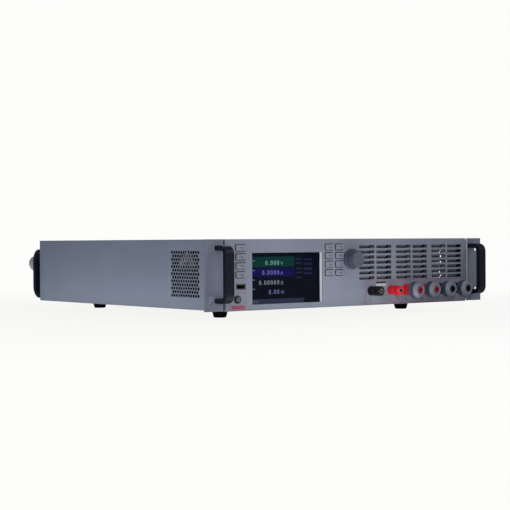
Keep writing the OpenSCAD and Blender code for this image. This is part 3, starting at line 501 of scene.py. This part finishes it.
slab(bm, screen_x + screen_w / 2, screen_top - screen_h / 2, screen_w + 2 * bezel, screen_h + 2 * bezel,
     lens_front, lens_front + glass_mm)
bmesh.ops.bevel(bm, geom=bm.edges[:], offset=pane_round_mm * MM, offset_type="OFFSET", segments=2,
                profile=0.5, affect="EDGES", clamp_overlap=True, material=-1)
keep(bm, "lens_pane", clear, "chassis", "lens_glass", "display_lens")


def lit(bm, left, right, top, bottom, lift):
    """Adds a lit patch to a bmesh, by its edges as shares of the screen from its top left corner."""
    slab(bm, screen_x + (left + right) / 2 * screen_w, screen_top - (top + bottom) / 2 * screen_h,
         (right - left) * screen_w, (bottom - top) * screen_h, picture - lift, picture - lift + film_mm)


def lettering(bm, words, x, z, height, align):
    """Adds flat figures to a bmesh: the foot of the line at x and z in mm, in front of the screen."""
    figure_share = 0.73
    text = bpy.data.curves.new("figures", "FONT")
    text.body = words
    text.size = height / figure_share
    text.align_x = align
    text.space_character = 1.35
    text.resolution_u = 3
    held = bpy.data.objects.new("figures", text)
    flat = bpy.data.meshes.new_from_object(held)
    spot = Vector((x * MM, panel_face + (picture - figure_lift) * MM, case_floor + z * MM))
    upright = Matrix.Rotation(math.pi / 2, 4, "X")
    flat.transform(Matrix.Translation(spot) @ upright @ Matrix.Scale(MM, 4))
    bm.from_mesh(flat)
    bpy.data.meshes.remove(flat)
    bpy.data.objects.remove(held)
    bpy.data.curves.remove(text)


# The picture: a dark ground, patches and marks by their left, right, top and bottom edges, and figures.
bm = bmesh.new()
lit(bm, 0.0, 1.0, 0.0, 1.0, 0.0)
ground = glow("screen, dark navy", ("#070a13", "#0b0f1d"), 3)
keep(bm, "screen_ground", ground, "chassis", "display_black")
patches = (
    ("band_volts", patch_lift, ("#0a2d2a", "#124039"), ((0.0, 0.64, 0.08, 0.28),)),
    ("band_amps", patch_lift, ("#140f42", "#1b1555"), ((0.0, 0.64, 0.30, 0.47),)),
    ("side_list", patch_lift, ("#22263a", "#2a2e43"), (
        (0.66, 0.745, 0.115, 0.15), (0.66, 0.745, 0.19, 0.23), (0.66, 0.745, 0.30, 0.34),
        (0.66, 0.745, 0.385, 0.42), (0.66, 0.745, 0.475, 0.515))),
    ("side_values", patch_lift, ("#1f2434", "#262757"), (
        (0.775, 0.90, 0.125, 0.16), (0.775, 0.90, 0.21, 0.25), (0.775, 0.90, 0.30, 0.36),
        (0.775, 0.90, 0.40, 0.44))),
    ("row_marks", mark_lift, ("#7c8496", "#8a92a4"), (
        (0.015, 0.085, 0.15, 0.165), (0.015, 0.085, 0.335, 0.35), (0.015, 0.085, 0.52, 0.535),
        (0.015, 0.085, 0.70, 0.715))),
    ("foot_bar", mark_lift, ("#2c3044", "#363a50"), ((0.0, 0.78, 0.905, 1.0),)),
    ("foot_mark", mark_lift, ("#4a505c", "#565c68"), ((0.02, 0.135, 0.925, 0.975),)),
)
for name, lift, tones, places in patches:
    bm = bmesh.new()
    for left, right, top, bottom in places:
        lit(bm, left, right, top, bottom, lift)
    keep(bm, name, glow(f"screen, {name.replace('_', ' ')}", tones, 2), "chassis", "display_black")
rows = (
    ("figures_volts", "0.000", "V", 0.24, ("#86b8b4", "#9accc6")),
    ("figures_amps", "0.0000", "A", 0.43, ("#7c7cc6", "#908fda")),
    ("figures_ohms", "0.00000", "Ω", 0.625, ("#8e9aa6", "#a4b0bc")),
    ("figures_watts", "0.00", "W", 0.81, ("#7e7eb0", "#9292c4")),
)
figure_mm = 5.6
unit_mm = figure_mm * 0.72
figures_end = screen_x + 0.425 * screen_w
unit_start = screen_x + 0.445 * screen_w
for name, figures, unit, foot, tones in rows:
    bm = bmesh.new()
    lettering(bm, figures, figures_end, screen_top - foot * screen_h, figure_mm, "RIGHT")
    lettering(bm, unit, unit_start, screen_top - foot * screen_h, unit_mm, "LEFT")
    keep(bm, name, glow(f"screen, {name.replace('_', ' ')}", tones, 1), "chassis", "display_black")

# Twelve keys stand in openings of the panel, four left of the display and eight in a keypad right of it.
# Each is a moulding that a flange behind the panel retains, and presses a switch on the front board.
# Moulded ABS, grey like the panel: fine spark texture, edges worn smooth.
key_abs = surface("grey key ABS", ("#8d93a4", "#959bac"), 6, (0.36, 0.46), 0.4, 0.006)
# Painted shade: the keys' sides and all behind their faces are dark, so each has a dark outline.
key_side_shade = surface("key sides, painted shade", ("#343945", "#3d424f"), 6, (0.45, 0.55), 0.4, 0.006)
# Pad-printed ink: two short grey bars on each face stand for its legend, paler than the panel's black.
legend_ink = surface("grey printing ink", ("#565c6a", "#5f6573"), 2, (0.5, 0.6), 0.3, 0.004)
legend = ((1.2, 0.0, 4.6, 1.0), (2.0, -1.6, 3.0, 0.7))
key_round_mm, key_round_depth_mm = 0.5, 0.2
key_names = [f"menu_key_{i}" for i in range(1, 5)] + [f"pad_key_{i}" for i in range(1, 9)]
for name in key_names:
    bm = joined(name)
    ease(bm, key_round_mm, 3, lambda e: all(
        v.co.y < panel_face + key_round_depth_mm * MM for v in e.verts))
    cap = keep(bm, f"{name}_cap", key_abs, name, "key_plastic", name)
    # The key's sides and back get the painted shade.
    patch_finish(cap.data, key_side_shade, lambda c, n: abs(n.y) < 0.4 or c.y > panel_face)
    x, z = panel_spot(name)
    face = (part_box(name)[0].y - panel_face) / MM
    bm = bmesh.new()
    for right, up, width, height in legend:
        slab(bm, x + right, z + up, width, height, face - ink_mm, face)
    keep(bm, f"{name}_legend", legend_ink, name, "key_plastic")

# The power button is a round plunger: a grey cap in a black collar. A flange keeps it in the panel,
# and it presses the power switch behind.
# Black polyamide: moulded, satin, slightly grey on its edges.
black_pa = surface("black polyamide", ("#121318", "#1a1b21"), 5, (0.34, 0.45), 0.4, 0.006)


def turned(profile, x, z):
    """Spins a profile round an axis through the panel: radius and depth from its face, in mm."""
    bm = bmesh.new()
    axis = Vector((x * MM, panel_face, case_floor + z * MM))
    ring = [bm.verts.new(axis + Vector((radius * MM, depth * MM, 0.0))) for radius, depth in profile]
    edges = [bm.edges.new(pair) for pair in zip(ring, ring[1:])]
    bmesh.ops.spin(bm, geom=ring + edges, cent=axis, axis=(0.0, 1.0, 0.0), angle=2 * math.pi, steps=64,
                   use_merge=True)
    bmesh.ops.remove_doubles(bm, verts=bm.verts, dist=MERGE)
    bmesh.ops.recalc_face_normals(bm, faces=bm.faces)
    return bm


low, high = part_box("power_button")
flange, rim, mouth, recess, cap_r = 5.9, 4.7, 3.5, 3.3, 3.2
flange_t, chamfer, sunk, seat = 1.0, 0.5, 0.9, 0.95
out = (low.y - panel_face) / MM
back = (high.y - panel_face) / MM
collar = ((0.0, back), (flange, back), (flange, back - flange_t), (rim, back - flange_t),
          (rim, out + chamfer), (rim - chamfer, out), (mouth, out), (recess, out + 0.4),
          (recess, out + sunk), (0.0, out + sunk))
keep(turned(collar, button_x, button_z), "button_collar", black_pa, "power_button", "key_plastic",
     "power_button")
# Frosted ABS: a duller grey, with a soft sheen.
frosted = surface("frosted grey ABS", ("#5c626e", "#666c78"), 4, (0.4, 0.5), 0.4, 0.006)
cap = ((0.0, out + seat), (cap_r, out + seat), (cap_r, out + 0.1), (2.9, out - 0.15), (1.6, out - 0.1),
       (0.0, out))
keep(turned(cap, button_x, button_z), "button_cap", frosted, "power_button", "key_plastic")
wear(black_pa, "power_switch")

# The USB socket is a pressed steel shell round a black tongue. The shell is zinc plated, and stands in
# a cut-out of the panel.
wear(zinc, "usb_socket")
# Liquid-crystal polymer, matt black: the tongue, and a painted shade on the walls deep in the shell.
tongue_and_shade = surface("black tongue and painted shade in the shell", ("#040406", "#08080b"), 3, (0.6, 0.7), 0.4, 0.006,
                 gleam=0.2)
lip_mm, shell_mm = 0.5, 1.2
usb_low, usb_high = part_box("usb_socket")
patch_finish(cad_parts["usb_socket"].data, tongue_and_shade, lambda c, n: (
    c.y > usb_low.y + lip_mm * MM and not (n.x < -0.5 and c.x > usb_high.x - shell_mm * MM)))

# The adjusting knob is moulded with a fluted grip and a dished face. It is pushed on the steel shaft
# of the encoder behind the panel.
# Blue-grey ABS, satin: its sides dark, a painted shade, and its front face paler, a painted highlight.
knob_shaded = surface("knob sides, painted shade", ("#3f4859", "#4a5366"), 5, (0.36, 0.46), 0.4, 0.008)
knob_lit = surface("knob face, painted highlight", ("#596072", "#626a7c"), 5, (0.36, 0.46), 0.4, 0.006)
wear(knob_shaded, "adjust_knob")
lit_face_mm = 3
knob_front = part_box("adjust_knob")[0].y
patch_finish(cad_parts["adjust_knob"].data, knob_lit,
             lambda c, n: n.y < -0.6 and c.y < knob_front + lit_face_mm * MM)
# Nickel-plated metal: bright and smooth, warmer than zinc.
nickel = surface("nickel plate", ("#b4b2ab", "#c9c7c0"), 6, (0.18, 0.3), 0.4, 0.003, metal=1.0)
wear(nickel, "encoder", "encoder_shaft")

# Louvre blades behind the vent slots shade the inside. They are one ABS moulding with ribs and rails,
# seated behind the panel's grille.
# Unpainted ABS, as grey as the panel, so that the blades still show in the shade.
louvre_abs = surface("grey ABS", ("#8a909d", "#9399a6"), 12, (0.48, 0.58), 0.5, 0.008)
wear(louvre_abs, "vent_louvre")

# The terminals are turned studs in coloured insulators. The sense posts have screw caps, and the load
# posts have grey hand nuts on coloured cores.
# Polyamide: moulded and satin, its red deep and even. The load posts' cores are a duller red: painted
# shade.
red_pa = surface("red polyamide", ("#e00f1a", "#ea1f28"), 5, (0.32, 0.42), 0.4, 0.006)
shaded_red = surface("red cores, painted shade", ("#8e1f2c", "#9c2835"), 4, (0.42, 0.52), 0.5, 0.01)
deep_black = surface("deep black polyamide", ("#05070d", "#0a0c13"), 5, (0.3, 0.4), 0.4, 0.006,
                     gleam=0.3)
# The nuts are grey in front, and their grooved barrels are dark: a painted shade.
nut_grey = surface("grey polyamide", ("#7a8090", "#848a9a"), 6, (0.36, 0.46), 0.4, 0.008)
nut_barrel_shade = surface("nut barrels, painted shade", ("#454f66", "#505a72"), 6, (0.4, 0.5), 0.4, 0.008)
wear(nickel, "terminal_studs")
wear(red_pa, "sense_base_red", "sense_nut_red", "load_collars_red")
wear(deep_black, "sense_base_black", "sense_nut_black", "load_collars_black")
core_mm = 12
core_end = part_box("load_collars_red")[0].y + core_mm * MM
# The front of the load collars, near the nuts, gets the darker red as a painted shade.
patch_finish(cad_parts["load_collars_red"].data, shaded_red, lambda c, n: c.y < core_end)
for i in range(1, 5):
    wear(nut_grey, f"load_nut_{i}")
    patch_finish(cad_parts[f"load_nut_{i}"].data, nut_barrel_shade, lambda c, n: abs(n.y) < 0.4)

# Inside are two circuit boards, a heat sink, copper bus bars and a wound choke on the power board.
# They show only through the vents.
# Solder mask over glass cloth: deep green, glossy, with the cloth's faint weave.
solder_mask = surface("green solder mask", ("#15452d", "#1b5236"), 4, (0.22, 0.32), 0.6, 0.01)
wear(solder_mask, "circuit_boards")
# Extruded aluminium: pale grey, drawn lines too fine to show, a soft sheen.
extruded = surface("extruded aluminium", ("#94989f", "#a1a5ab"), 8, (0.35, 0.45), 0.4, 0.005, metal=1.0)
wear(extruded, "heat_sink")
# Rolled copper: salmon, darkened in cloudy patches.
copper = surface("rolled copper", ("#a8653a", "#bb7a4a"), 9, (0.28, 0.4), 0.4, 0.004, metal=1.0)
wear(copper, "bus_bars")
# Enamelled wire: pale and glossy. Twenty turns lie round the choke's ring.
wire = surface("pale enamelled wire", ("#ebe6d8", "#f8f5ea"), 3, (0.25, 0.35), 0.9, 0.05)
wear(wire, "supply_choke")
low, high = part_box("supply_choke")
wound = (high.x - low.x) / 2
ring = (high.y - low.y) / 2 - wound
hub = Vector((low.x + wound, (low.y + high.y) / 2, high.z - ring - wound))
wire_r = 0.8 * MM
turns = 20
bm = bmesh.new()
bmesh.ops.create_circle(bm, segments=6, radius=wire_r, matrix=Matrix.Translation(
    hub + Vector((0.0, 0.0, ring + wound))) @ Matrix.Rotation(math.pi / 2, 4, "Y"))
bmesh.ops.spin(bm, geom=bm.verts[:] + bm.edges[:], cent=hub + Vector((0.0, 0.0, ring)),
               axis=(0.0, 1.0, 0.0), angle=2 * math.pi, steps=16, use_merge=True)
bmesh.ops.remove_doubles(bm, verts=bm.verts, dist=MERGE)
bmesh.ops.spin(bm, geom=bm.verts[:] + bm.edges[:] + bm.faces[:], cent=hub, axis=(1.0, 0.0, 0.0),
               angle=2 * math.pi * (turns - 1) / turns, steps=turns - 1, use_duplicate=True)
bmesh.ops.recalc_face_normals(bm, faces=bm.faces)
winding = keep(bm, "choke_winding", wire, "chassis", "copper")
# Painted shade: the choke and its winding are dark below the ring's middle, so only the upper arch is
# bright.
choke_lower_shade = surface("choke lower half, painted shade", ("#23261f", "#2d3128"), 6, (0.4, 0.5), 1.5, 0.02)
for mesh in (winding.data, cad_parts["supply_choke"].data):
    patch_finish(mesh, choke_lower_shade, lambda c, n: c.z < hub.z)

# Two axial fans blow out through the rear panel. Each is a moulded frame with a rotor on its pin,
# behind a nickel-plated guard of rings on crossed arms that is screwed on.
# Glass-filled polybutylene: matt black with a faint flow pattern.
fan_black = surface("black polybutylene", ("#141519", "#1c1d22"), 10, (0.45, 0.55), 0.5, 0.01)
wear(fan_black, "fan_frames", "fan_rotor_left", "fan_rotor_right")
wear(nickel, "fan_guards")

# The rear panel also has a mains inlet with a fuse drawer, two interface sockets and an earth terminal.
# The inlet is moulded like the power button's collar, and the sockets are plated steel shells.
wear(black_pa, "ac_inlet", "fuse_drawer")
wear(zinc, "rear_sockets")
# Satin nickel: blasted and plated, pale and soft, so that the dome shades like a pearl.
satin = surface("satin nickel", ("#d2d3d8", "#e2e3e8"), 7, (0.3, 0.4), 0.4, 0.004, metal=0.4)
wear(satin, "earth_nut")
